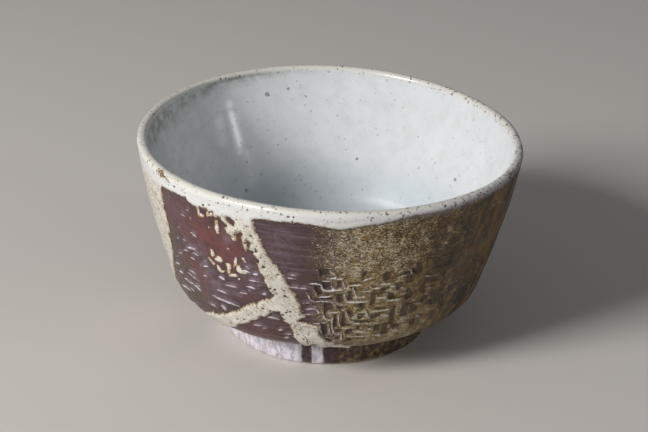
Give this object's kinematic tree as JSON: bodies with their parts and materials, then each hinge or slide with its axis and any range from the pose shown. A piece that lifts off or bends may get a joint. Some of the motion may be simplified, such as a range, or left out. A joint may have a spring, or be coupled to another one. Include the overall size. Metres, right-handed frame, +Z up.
{
  "type": "tea bowl",
  "caption": "Hand-thrown stoneware tea bowl with flaring walls, a rounded shoulder, a low turned foot ring, a pale glazed inside and an incised, mottled outside.",
  "frame": {"origin": "centre of the foot ring's underside, on the surface that the bowl stands on", "axes": "+Z up along the bowl's turning axis; -Y is the front, the side with the branching cream veins"},
  "size_m": [0.1236, 0.1254, 0.0669],
  "materials": {
    "glazed_stoneware": "pale grey-green gloss inside, cream veins over dark iron-brown clay and mottled olive ash glaze outside"
  },
  "bodies": {
    "root": {"tea_bowl": "glazed_stoneware"}
  },
  "joints": []
}
